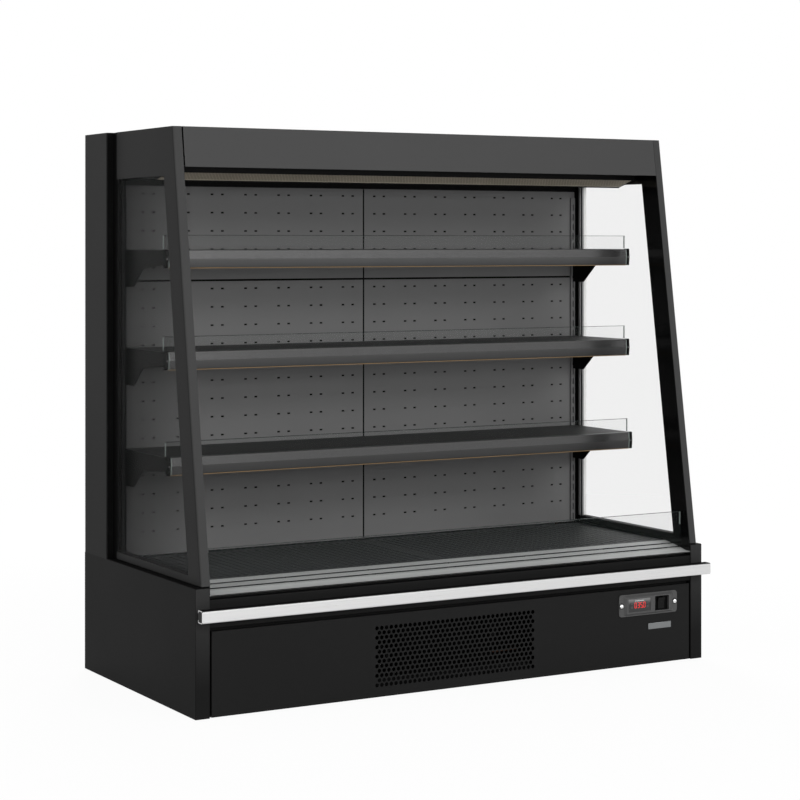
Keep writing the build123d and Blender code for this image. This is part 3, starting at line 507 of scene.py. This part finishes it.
def newRule(name, sockets):
    # an empty Geometry Nodes tree with a geometry in and out and the given inputs
    tree = bpy.data.node_groups.new(name, "GeometryNodeTree")
    tree.interface.new_socket(name="Geometry", in_out="INPUT", socket_type="NodeSocketGeometry")
    tree.interface.new_socket(name="Geometry", in_out="OUTPUT", socket_type="NodeSocketGeometry")
    for label, kind in sockets:
        tree.interface.new_socket(name=label, in_out="INPUT", socket_type=kind)
    given = tree.nodes.new("NodeGroupInput").outputs
    made = tree.nodes.new("NodeGroupOutput").inputs[0]
    return tree, given, made


def runRule(piece, rule, values, body):
    # the tree's result becomes the piece's own plain mesh
    modifier = piece.modifiers.new(rule.name, "NODES")
    modifier.node_group = rule
    for item in rule.interface.items_tree:
        if item.item_type == "SOCKET" and item.in_out == "INPUT" and item.name in values:
            modifier[item.identifier] = values[item.name]
    bpy.context.view_layer.update()
    graph = bpy.context.evaluated_depsgraph_get()
    made = bpy.data.meshes.new_from_object(piece.evaluated_get(graph))
    piece.modifiers.remove(modifier)
    piece.data = made
    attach(piece, body)
    return piece


# rows and columns of one shape, each turned a little about y at random
rowsRule, given, made = newRule("rowsOfOneShape", [
    ("Columns", "NodeSocketInt"), ("Rows", "NodeSocketInt"), ("Start", "NodeSocketVector"),
    ("Column Step", "NodeSocketVector"), ("Row Step", "NodeSocketVector"),
    ("Odd Row Shift", "NodeSocketVector"), ("Turn", "NodeSocketFloat"), ("Material", "NodeSocketMaterial")])
count = addNode(rowsRule, "ShaderNodeMath", {"operation": "MULTIPLY"}, in0=given["Columns"],
                in1=given["Rows"])
index = addNode(rowsRule, "GeometryNodeInputIndex")
column = addNode(rowsRule, "ShaderNodeMath", {"operation": "MODULO"}, in0=index, in1=given["Columns"])
row = addNode(rowsRule, "ShaderNodeMath", {"operation": "DIVIDE"}, in0=index, in1=given["Columns"])
row = addNode(rowsRule, "ShaderNodeMath", {"operation": "FLOOR"}, in0=row)
odd = addNode(rowsRule, "ShaderNodeMath", {"operation": "MODULO"}, in0=row, in1=2.0)
across = addNode(rowsRule, "ShaderNodeVectorMath", {"operation": "SCALE"}, in0=given["Column Step"],
                 Scale=column)
down = addNode(rowsRule, "ShaderNodeVectorMath", {"operation": "SCALE"}, in0=given["Row Step"], Scale=row)
moved = addNode(rowsRule, "ShaderNodeVectorMath", {"operation": "SCALE"}, in0=given["Odd Row Shift"],
                Scale=odd)
spot = addNode(rowsRule, "ShaderNodeVectorMath", {"operation": "ADD"}, in0=across, in1=down)
spot = addNode(rowsRule, "ShaderNodeVectorMath", {"operation": "ADD"}, in0=spot, in1=moved)
spot = addNode(rowsRule, "ShaderNodeVectorMath", {"operation": "ADD"}, in0=spot, in1=given["Start"])
spots = addNode(rowsRule, "GeometryNodePoints", None, Count=count, Position=spot)
chance = addNode(rowsRule, "FunctionNodeRandomValue", {"data_type": "FLOAT"}, Seed=7)
angle = addNode(rowsRule, "ShaderNodeMath", {"operation": "MULTIPLY"}, in0=chance.outputs[1],
                in1=given["Turn"])
turn = addNode(rowsRule, "ShaderNodeCombineXYZ", None, Y=angle)
placed = addNode(rowsRule, "GeometryNodeInstanceOnPoints", None, Points=spots,
                 Instance=given["Geometry"], Rotation=turn)
real = addNode(rowsRule, "GeometryNodeRealizeInstances", None, Geometry=placed)
finished = addNode(rowsRule, "GeometryNodeSetMaterial", None, Geometry=real, Material=given["Material"])
rowsRule.links.new(finished.outputs[0], made)


def inRows(name, shape, material, body, columns, rows, start, columnStep=(0, 0, 0), rowStep=(0, 0, 0),
           oddShift=(0, 0, 0), turnBy=0.0):
    # one shape, made at the origin, repeated by the rule above; turnBy is in radians
    piece = newPiece(name, shape, material)
    metres = [tuple(v / 1000 for v in vector) for vector in (start, columnStep, rowStep, oddShift)]
    values = {"Columns": columns, "Rows": rows, "Start": metres[0], "Column Step": metres[1],
              "Row Step": metres[2], "Odd Row Shift": metres[3], "Turn": turnBy, "Material": material}
    return runRule(piece, rowsRule, values, body)


def screwHead(radius, height, facing=-1):
    # a pan head with a cross recess, its seat on the origin plane and its dome towards facing along y
    shape = bmesh.new()
    recess, slot, rise = radius * 0.5, radius * 0.16, facing * height
    turned(shape, [(0, 0), (radius, 0), (radius, rise * 0.35), (radius * 0.8, rise * 0.8),
                   (recess * 1.25, rise), (0, rise)], (0, 0, 0), 16)
    for size in ((slot * 2, recess * 2), (recess * 2, slot * 2)):
        prism(shape, roundedOutline((0, 0), size, slot * 0.6, 1), rise * 0.98, rise * 1.02, 1)
    return shape


# ---- shelf fronts: end caps and screws, ticket cover and its ends, foot of the ticket rail ----
railEnd = {"width": 10.5, "outside": 755.5, "proud": 1.3, "above": 1.2, "deep": 13, "bend": 24,
           "screw": (2.1, 0.9), "screwX": 750.3, "screwTurn": 3.0}
ticket = {"half": 744.6, "ends": (743.2, 745.2), "footHalf": 744.5}
for number in (1, 2, 3):
    low, high = [corner * 1000 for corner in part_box(f"shelf_{number}_price_rail")]
    front, top, bottom = low.y, high.z, low.z
    body = f"shelf_{number}"
    shape = bmesh.new()
    capFront, capRear = front - railEnd["proud"], front + railEnd["deep"]
    capTop, capBottom = top + railEnd["above"], bottom - railEnd["above"]
    bothHands(shape, [(capFront + 2.6, capBottom), (capFront, top - railEnd["bend"]),
                      (capFront + 2.2, capTop), (capRear, capTop), (capRear, capBottom)],
              railEnd["outside"], railEnd["outside"] - railEnd["width"])
    newPiece(f"railEndCaps{number}", shape, plastic["seal"], body, edge=1.0)
    # the clear cover of the ticket pocket, over the upper half of the rail
    shape = bmesh.new()
    prism(shape, [(front - 0.3, top - 23.6), (front + 1.5, top - 1.4), (front + 2.4, top - 0.6),
                  (front + 2.4, top - 2), (front + 0.4, top - 23.8)], -ticket["half"], ticket["half"])
    newPiece(f"ticketCover{number}", shape, plastic["ticket"], body)
    shape = bmesh.new()
    bothHands(shape, [(front + 1.7, bottom + 0.6), (front - 0.45, top - 23.7), (front + 1.4, top - 1),
                      (front + 2.6, top - 1), (front + 2.6, bottom + 0.6)], *ticket["ends"])
    newPiece(f"ticketCoverEnds{number}", shape, glass["endEdge"], body)
    inRows(f"railCapScrews{number}", screwHead(*railEnd["screw"]), metal["spacer"], body, 2, 1,
           (-railEnd["screwX"], capFront + 0.25, top - railEnd["bend"]), (2 * railEnd["screwX"], 0, 0),
           turnBy=railEnd["screwTurn"])
    shape = bmesh.new()
    prism(shape, [(front + 2.2, bottom), (front + 1.6, bottom - 0.8), (front + 2.0, bottom - 1.9),
                  (front + 4.4, bottom - 2.1), (front + 5.6, bottom - 1.2), (front + 5.4, bottom)],
          -ticket["footHalf"], ticket["footHalf"])
    newPiece(f"ticketFoot{number}", shape, plastic["amber"], body)
print("shelf fronts ready")

# ---- polished edges of the glass risers ----
polish = {"width": 1.3, "proud": 0.12, "slope": 1.2, "endSlope": 1, "down": 38}
for name, body in (("shelf_1_riser", "shelf_1"), ("shelf_2_riser", "shelf_2"), ("shelf_3_riser", "shelf_3"),
                   ("deck_riser_glass", "cabinet")):
    low, high = [corner * 1000 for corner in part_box(name)]
    out = polish["proud"]
    shape = bmesh.new()
    prism(shape, [(low.y - out, high.z - polish["width"]), (low.y + polish["slope"], high.z + out),
                  (high.y - polish["slope"], high.z + out), (high.y + out, high.z - polish["width"])],
          low.x - out, high.x + out)
    newPiece("polishedEdge_" + name, shape, glass["edge"], body)
    shape = bmesh.new()
    for x in (low.x, high.x):
        inner = x + math.copysign(polish["width"], -x)
        outer = x + math.copysign(out, x)
        prism(shape, [(inner, low.y - out), (outer, low.y + polish["endSlope"]),
                      (outer, high.y - polish["endSlope"]), (inner, high.y + out)],
              high.z - polish["down"], high.z - polish["width"], 2)
    newPiece("polishedEnds_" + name, shape, glass["endEdge"], body)
print("riser edges ready")

# ---- glazed side units: spacer bars along the rear edge, sealant, a trim over the pane's edge ----
spacer = {"bar": (763.05, 768.6), "sealant": (768.7, 779.95), "trim": (758.0, 758.95),
          "depth": (548, 554.9), "trimDepth": (552, 562), "z": (355, 1375)}
for hand, unit, barFinish, sealFinish in ((-1, "Left", plastic["black"], plastic["seal"]),
                                          (1, "Right", metal["spacer"], plastic["sealant"])):
    bars, sealant = bmesh.new(), bmesh.new()
    near, far = (hand * x for x in spacer["bar"])
    front, rear = (back(depth) for depth in spacer["depth"])
    middle = (near + far) / 2
    prism(bars, [(near, front + 1), (near + hand * 0.8, front), (middle - hand * 0.9, front),
                 (middle - hand * 0.5, front + 0.7), (middle + hand * 0.5, front + 0.7),
                 (middle + hand * 0.9, front), (far, front), (far, rear), (near, rear)], *spacer["z"], 2)
    near, far = (hand * x for x in spacer["trim"])
    trimFront, trimRear = (back(depth) for depth in spacer["trimDepth"])
    prism(bars, [(far, trimFront), (near, trimFront + 0.6), (near, trimRear - 0.6), (far, trimRear)],
          *spacer["z"], 2)
    near, far = (hand * x for x in spacer["sealant"])
    prism(sealant, [(near, front + 2.5), ((near + far) / 2, front + 1.6), (far, front + 2.5), (far, rear),
                    (near, rear)], *spacer["z"], 2)
    newPiece("paneSpacerBar" + unit, bars, barFinish, "cabinet")
    newPiece("paneSealant" + unit, sealant, sealFinish, "cabinet")

# ---- enamelled inner faces of the side frames, down to the air intake ----
innerFace = {"x": (758.35, 758.95), "rear": 554.5, "glass": (353.8, 1376.2), "intake": 335.4, "top": 1502.5}
postLine = {"foot": (1.5, 330), "run": 177, "rise": 1174, "deep": 74.8}  # front edge of the leaning post


def lean(z):
    # depth of the post's front edge at a height
    depth, foot = postLine["foot"]
    return depth + (z - foot) * postLine["run"] / postLine["rise"]


shape = bmesh.new()
rear, intake, top = innerFace["rear"], innerFace["intake"], innerFace["top"]
low, high = innerFace["glass"]
# depth and height of each corner: up the curved sill, around the pane, and along the header to the post
outline = [(3, 313.0), (23, 313.8), (46, 318.9), (98, 328.1), (126, 330.9), (130, intake), (rear, intake),
           (rear, low), (lean(354) + postLine["deep"], low), (lean(1376) + postLine["deep"], high),
           (rear, high), (rear, top), (lean(1502) + 2, top)]
bothHands(shape, [(back(depth), z) for depth, z in outline], *innerFace["x"])
newPiece("innerEnamelFaces", shape, enamel["inner"], "cabinet")
print("sides ready")

# ---- control panel ----
panel = {"x": 607.5, "z": 174.5, "screwAside": 93, "screwSeat": -1, "displayX": 572.5, "switchX": 651,
         "filmSize": (45, 32.5), "filmCorner": 1.5, "filmDepth": (-7.35, -7)}
# black rings round the bezel's two screw domes: painted shadow
shadowRing = [(7.0, 0.95), (7.0, -0.25), (7.5, -0.45), (8.25, -0.3), (8.25, 0.95), (7.0, 0.95)]  # radius and y
shape = bmesh.new()
for hand in (-1, 1):
    x = panel["x"] + hand * panel["screwAside"]
    turned(shape, shadowRing, (x, back(panel["screwSeat"]), panel["z"]), 32)
newPiece("screwShadowRings", shape, plastic["seal"], "service_panel")

shape = bmesh.new()
front, rear = (back(depth) for depth in panel["filmDepth"])
middle = (panel["displayX"], panel["z"])
prism(shape, roundedOutline(middle, panel["filmSize"], panel["filmCorner"]), front, rear, 1)
newPiece("displayFilm", shape, plastic["film"], "service_panel")

digits = {"text": "0350", "left": 555.5, "step": 10.2, "z": (167.2, 182.0), "width": 5.8, "stroke": 1.05,
          "tip": 0.3, "depth": (-7.5, -7.34), "point": (583.7, -7.42, 166.8), "pointRadius": 1.0,
          "pointRise": 0.1}
# a digit's bars: 0 top, 1 upper left, 2 upper right, 3 middle, 4 lower left, 5 lower right, 6 bottom
barsOf = {"0": (0, 1, 2, 4, 5, 6), "3": (0, 2, 3, 5, 6), "5": (0, 1, 3, 5, 6)}
shape = bmesh.new()
low, high = digits["z"]
middle, half, tip = (low + high) / 2, digits["stroke"] / 2, digits["tip"]
front, rear = (back(depth) for depth in digits["depth"])
for position, digit in enumerate(digits["text"]):
    left = digits["left"] + position * digits["step"]
    right = left + digits["width"]
    lines = [((left, high), (right, high)),
             ((left, middle), (left, high)), ((right, middle), (right, high)),
             ((left, middle), (right, middle)),
             ((left, low), (left, middle)), ((right, low), (right, middle)),
             ((left, low), (right, low))]
    for bar in barsOf[digit]:
        (x0, z0), (x1, z1) = lines[bar]
        if z0 == z1:
            bevelled = [(x0 + tip, z0), (x0 + half, z0 + half), (x1 - half, z0 + half), (x1 - tip, z0),
                        (x1 - half, z0 - half), (x0 + half, z0 - half)]
        else:
            bevelled = [(x0, z0 + tip), (x0 + half, z0 + half), (x0 + half, z1 - half), (x0, z1 - tip),
                        (x0 - half, z1 - half), (x0 - half, z0 + half)]
        prism(shape, bevelled, front, rear, 1)
x, depth, z = digits["point"]
radius, rise = digits["pointRadius"], digits["pointRise"]
turned(shape, [(0, rise), (radius, rise), (radius, -rise), (0, -rise)], (x, back(depth), z), 10)
newPiece("displayDigits", shape, lamp["digits"], "service_panel")

marks = {"size": (1.9, 1.5), "corner": 0.4, "thick": 0.14, "count": 8, "step": 4.0,
         "first": (558.5, -7.35, 187.2)}
shape = bmesh.new()
prism(shape, roundedOutline((0, 0), marks["size"], marks["corner"], 2), 0, -marks["thick"], 1)
x, depth, z = marks["first"]
inRows("displayMarks", shape, lamp["marks"], "service_panel", marks["count"], 1, (x, back(depth), z),
       (marks["step"], 0, 0))


def ringPlate(centre, sizes, corners, depths):
    # a flat ring between an inner and an outer outline with round corners, between two depths
    shape = bmesh.new()
    front, rear = (back(depth) for depth in depths)
    inner, outer = zip(sizes, corners)
    rings = []
    for (size, corner), y in ((inner, rear), (inner, front), (outer, front), (outer, rear)):
        rings.append([shape.verts.new((x, y, z)) for x, z in roundedOutline(centre, size, corner)])
    for k, ring in enumerate(rings):
        following = rings[(k + 1) % 4]
        for i in range(len(ring)):
            j = (i + 1) % len(ring)
            shape.faces.new((ring[i], ring[j], following[j], following[i]))
    return shape


# the switch: a black plate on the floor of its recess, painted shade, and a thin light rim around the
# recess, a painted highlight on its edge
switch = {"well": (24.4, 34.4), "recess": (50, 42), "gap": 0.3, "rim": 0.9, "plateCorners": (0.8, 1.4),
          "plateDepths": (-0.7, -0.02), "rimCorners": (1.5, 2.2), "rimDepths": (-8.35, -7.5)}
middle = (panel["switchX"], panel["z"])
inside = tuple(side - switch["gap"] for side in switch["recess"])
plate = ringPlate(middle, (switch["well"], inside), switch["plateCorners"], switch["plateDepths"])
newPiece("switchPlate", plate, plastic["seal"], "service_panel")
outside = tuple(side + 2 * switch["rim"] for side in switch["recess"])
rim = ringPlate(middle, (switch["recess"], outside), switch["rimCorners"], switch["rimDepths"])
newPiece("switchRim", rim, plastic["rim"], "service_panel")
print("control panel ready")

# ---- badge plate, left bare ----
badge = {"x": 648.5, "z": 109.5, "size": (80, 17), "corner": 1.8, "seat": 2, "thick": 2.2}
shape = bmesh.new()
prism(shape, roundedOutline((badge["x"], badge["z"]), badge["size"], badge["corner"]),
      back(badge["seat"] - badge["thick"]), back(badge["seat"]), 1)
newPiece("badgePlate", shape, metal["badge"], "service_panel", edge=0.5)

# ---- bumper: a cap over its left end, a plug in its right one, and a dark matt strip along its top, a painted dark reflection ----
cap = {"depth": (-40, -15), "z": (249.05, 280.95), "left": (-799.98, -798.4), "right": (796.4, 798.8),
       "gap": 0.1, "inset": 4, "corner": 1.2, "plugCorner": 1}
paintedTopReflection = {"depth": (-38.2, -16.2), "seat": 281, "rise": 0.12, "edge": 0.4, "half": 797.5}
(near, far), (low, high) = cap["depth"], cap["z"]
middle = (back((near + far) / 2), (low + high) / 2)
shape = bmesh.new()
outside = (far - near - cap["gap"], high - low)
prism(shape, roundedOutline(middle, outside, cap["corner"]), *cap["left"])
inside = (far - near - cap["inset"], high - low - cap["inset"])
prism(shape, roundedOutline(middle, inside, cap["plugCorner"]), *cap["right"])
newPiece("bumperEndCaps", shape, plastic["black"], "cabinet")
shape = bmesh.new()
front, rear = (back(depth) for depth in paintedTopReflection["depth"])
seat, top, edge = paintedTopReflection["seat"], paintedTopReflection["seat"] + paintedTopReflection["rise"], paintedTopReflection["edge"]
prism(shape, [(front, seat), (front + edge, top), (rear - edge, top), (rear, seat)],
      -paintedTopReflection["half"], paintedTopReflection["half"])
newPiece("bumperTopPaintedReflection", shape, plastic["paintedTopReflection"], "cabinet")
print("badge and bumper ready")

# ---- air curtain honeycomb under the canopy ----
# front and rear are the depth and height of its mouth's two edges; wide is the cells' field along the slope
honeycomb = {"front": (275, 1389), "rear": (341, 1369.5), "pitch": 9.5, "wall": 0.5, "deep": 14, "half": 752,
             "wide": 66}
border = {"wide": 2.2, "outer": 34, "inner": 31.8, "ends": (755, 752.5)}  # the frame around the cells
airScreen = {"reach": 31.5, "up": 0.7, "thick": 0.3, "half": 752}
(frontDepth, frontHigh), (rearDepth, rearHigh) = honeycomb["front"], honeycomb["rear"]
pitch, deep = honeycomb["pitch"], honeycomb["deep"]
tilt = math.atan2(frontHigh - rearHigh, rearDepth - frontDepth)
across, up = Vector((0, math.cos(tilt), -math.sin(tilt))), Vector((0, math.sin(tilt), math.cos(tilt)))
centre = Vector((0, back((frontDepth + rearDepth) / 2), (frontHigh + rearHigh) / 2)) + up * deep / 2

coreRule, given, made = newRule("honeycombCell", [
    ("Radius", "NodeSocketFloat"), ("Wall", "NodeSocketFloat"), ("Deep", "NodeSocketFloat")])
hexagon = addNode(coreRule, "GeometryNodeCurvePrimitiveCircle", None, Resolution=6, Radius=given["Radius"])
section = addNode(coreRule, "GeometryNodeCurvePrimitiveQuadrilateral", None, Width=given["Wall"],
                  Height=given["Deep"])
cell = addNode(coreRule, "GeometryNodeCurveToMesh", None, Curve=hexagon, Profile_Curve=section)
real = addNode(coreRule, "GeometryNodeRealizeInstances", None, Geometry=cell)
finished = addNode(coreRule, "GeometryNodeSetMaterial", None, Geometry=real, Material=plastic["beige"])
coreRule.links.new(finished.outputs[0], made)
core = newPiece("honeycombCore", bmesh.new(), plastic["beige"])
runRule(core, coreRule, {"Radius": pitch / math.sqrt(3) / 1000, "Wall": honeycomb["wall"] / 1000,
                         "Deep": deep / 1000}, "cabinet")
cellMesh = bmesh.new()
cellMesh.from_mesh(core.data)
bmesh.ops.rotate(cellMesh, matrix=Matrix.Rotation(math.radians(30), 3, "Z"), verts=cellMesh.verts)
bmesh.ops.rotate(cellMesh, matrix=Matrix.Rotation(-tilt, 3, "X"), verts=cellMesh.verts)
bmesh.ops.scale(cellMesh, vec=(1000, 1000, 1000), verts=cellMesh.verts)
bpy.data.objects.remove(core)
columns = int(2 * honeycomb["half"] / pitch) - 1
rowStep = pitch * math.sqrt(3) / 2
rows = int(honeycomb["wide"] / rowStep) - 1
start = centre - across * rowStep * (rows - 1) / 2 - Vector((pitch * (columns - 0.5) / 2, 0, 0))
core = inRows("honeycombCore", cellMesh, plastic["beige"], "cabinet", columns, rows, tuple(start),
              (pitch, 0, 0), tuple(across * rowStep), (pitch / 2, 0, 0))
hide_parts("air_discharge_honeycomb")


def sloped(middle, reach, low, high):
    # a rectangle's corners in section: reach to both sides along the slope, from low to high across it
    sides = ((-reach, low), (reach, low), (reach, high), (-reach, high))
    corners = [middle + across * out + up * rise for out, rise in sides]
    return [(corner.y, corner.z) for corner in corners]


shape = bmesh.new()
for side in (-1, 1):
    rim = centre + across * side * (border["outer"] - border["wide"] / 2)
    prism(shape, sloped(rim, border["wide"] / 2, -deep / 2, deep / 2), -border["ends"][0], border["ends"][0])
    prism(shape, sloped(centre, border["inner"], -deep / 2, deep / 2),
          *sorted(side * x for x in border["ends"]))
newPiece("honeycombFrame", shape, plastic["beige"], "cabinet")
# a fine screen a little way up inside the cells evens them out to one brown-grey strip; its colour, darker
# than the cells, is painted shade in their depths
shape = bmesh.new()
low = centre - up * (deep / 2 - airScreen["up"])
prism(shape, sloped(low, airScreen["reach"], 0, airScreen["thick"]), -airScreen["half"], airScreen["half"])
newPiece("honeycombScreen", shape, plastic["screen"], "cabinet")
print("honeycomb ready,", columns * rows, "cells")

# ---- back panels: a black lining behind the slots, painted shade of the air duct, and the joint strip between the two columns ----
duct = {"half": 756.5, "depth": (586.3, 587.0), "z": (334, 1358)}
joint = {"x": (3.7, 8.3), "depth": (583.6, 584), "edge": 0.5}
low, high = duct["z"]
shape = bmesh.new()
front, rear = (back(depth) for depth in duct["depth"])
prism(shape, [(front, low), (front, high), (rear, high - 1), (rear, low + 1)], -duct["half"], duct["half"])
newPiece("ductPaintedShade", shape, plastic["seal"], "cabinet")
shape = bmesh.new()
(left, right), edge = joint["x"], joint["edge"]
front, rear = (back(depth) for depth in joint["depth"])
prism(shape, [(left, rear), (left + edge, front), (right - edge, front), (right, rear)], low, high, 2)
newPiece("backJointStrip", shape, plastic["seal"], "cabinet")
print("back panels ready")

# ---- back of the cabinet: louvres, cover screws, wall screws ----
louvre = {"width": 118, "reach": 4.6, "height": 9, "wall": 0.9, "top": 3.5, "steps": 4,
          "depth": 737, "z": 64, "columns": 3, "columnStep": 150, "rows": 9, "rowStep": 16,
          "lefts": {"Left": -480, "Right": 180}}
quarter = [math.pi / 2 * k / louvre["steps"] for k in range(louvre["steps"] + 1)]
spans = ((-0.5, 0.0), (-0.46, 0.6), (-0.4, 1.0), (0.4, 1.0), (0.46, 0.6), (0.5, 0.0))  # along, and how full
shape = bmesh.new()
skins = []
for inset, thinnest in ((0, 0.06), (louvre["wall"], 0.02)):
    grid = []
    rise, wide = louvre["height"] - inset, louvre["width"] - 2 * inset
    for span, full in spans:
        reach = max(louvre["reach"] * full - inset, thinnest)
        grid.append([shape.verts.new((span * wide, reach * math.sin(turn),
                                      louvre["top"] - rise * (1 - math.cos(turn)))) for turn in quarter])
    skins.append(grid)
for grid in skins:
    for one, other in zip(grid, grid[1:]):
        for k in range(louvre["steps"]):
            shape.faces.new((one[k], one[k + 1], other[k + 1], other[k]))
# the open edges of both skins, joined by the wall's thickness
outerRim, innerRim = [grid[0] + [line[-1] for line in grid[1:-1]] + grid[-1][::-1]
                      + [line[0] for line in grid[-2:0:-1]] for grid in skins]
for k in range(len(outerRim)):
    j = (k + 1) % len(outerRim)
    shape.faces.new((outerRim[k], outerRim[j], innerRim[j], innerRim[k]))
for side, left in louvre["lefts"].items():
    inRows("rearLouvres" + side, shape.copy(), paint["black"], "cabinet", louvre["columns"], louvre["rows"],
           (left, back(louvre["depth"]), louvre["z"]), (louvre["columnStep"], 0, 0),
           (0, 0, louvre["rowStep"]))
shape.free()
rearScrew = {"radius": 5, "turn": 3.0}
# each set of screws: height of the head, columns and rows, the first one's place, and both steps
rearScrews = {
    "rearCoverScrews": (2.2, 7, 2, (-780, 737, 17), 260, 202),
    "rearWallScrews": (1.9, 2, 7, (-744, 748, 262), 1488, 190),
    "roofScrews": (1.9, 7, 1, (-720, 748, 1430), 240, 0),
}
for name, (height, columns, rows, (x, depth, z), columnStep, rowStep) in rearScrews.items():
    inRows(name, screwHead(rearScrew["radius"], height, 1), metal["zincScrew"], "cabinet", columns, rows,
           (x, back(depth), z), (columnStep, 0, 0), (0, 0, rowStep), turnBy=rearScrew["turn"])
print("back ready")
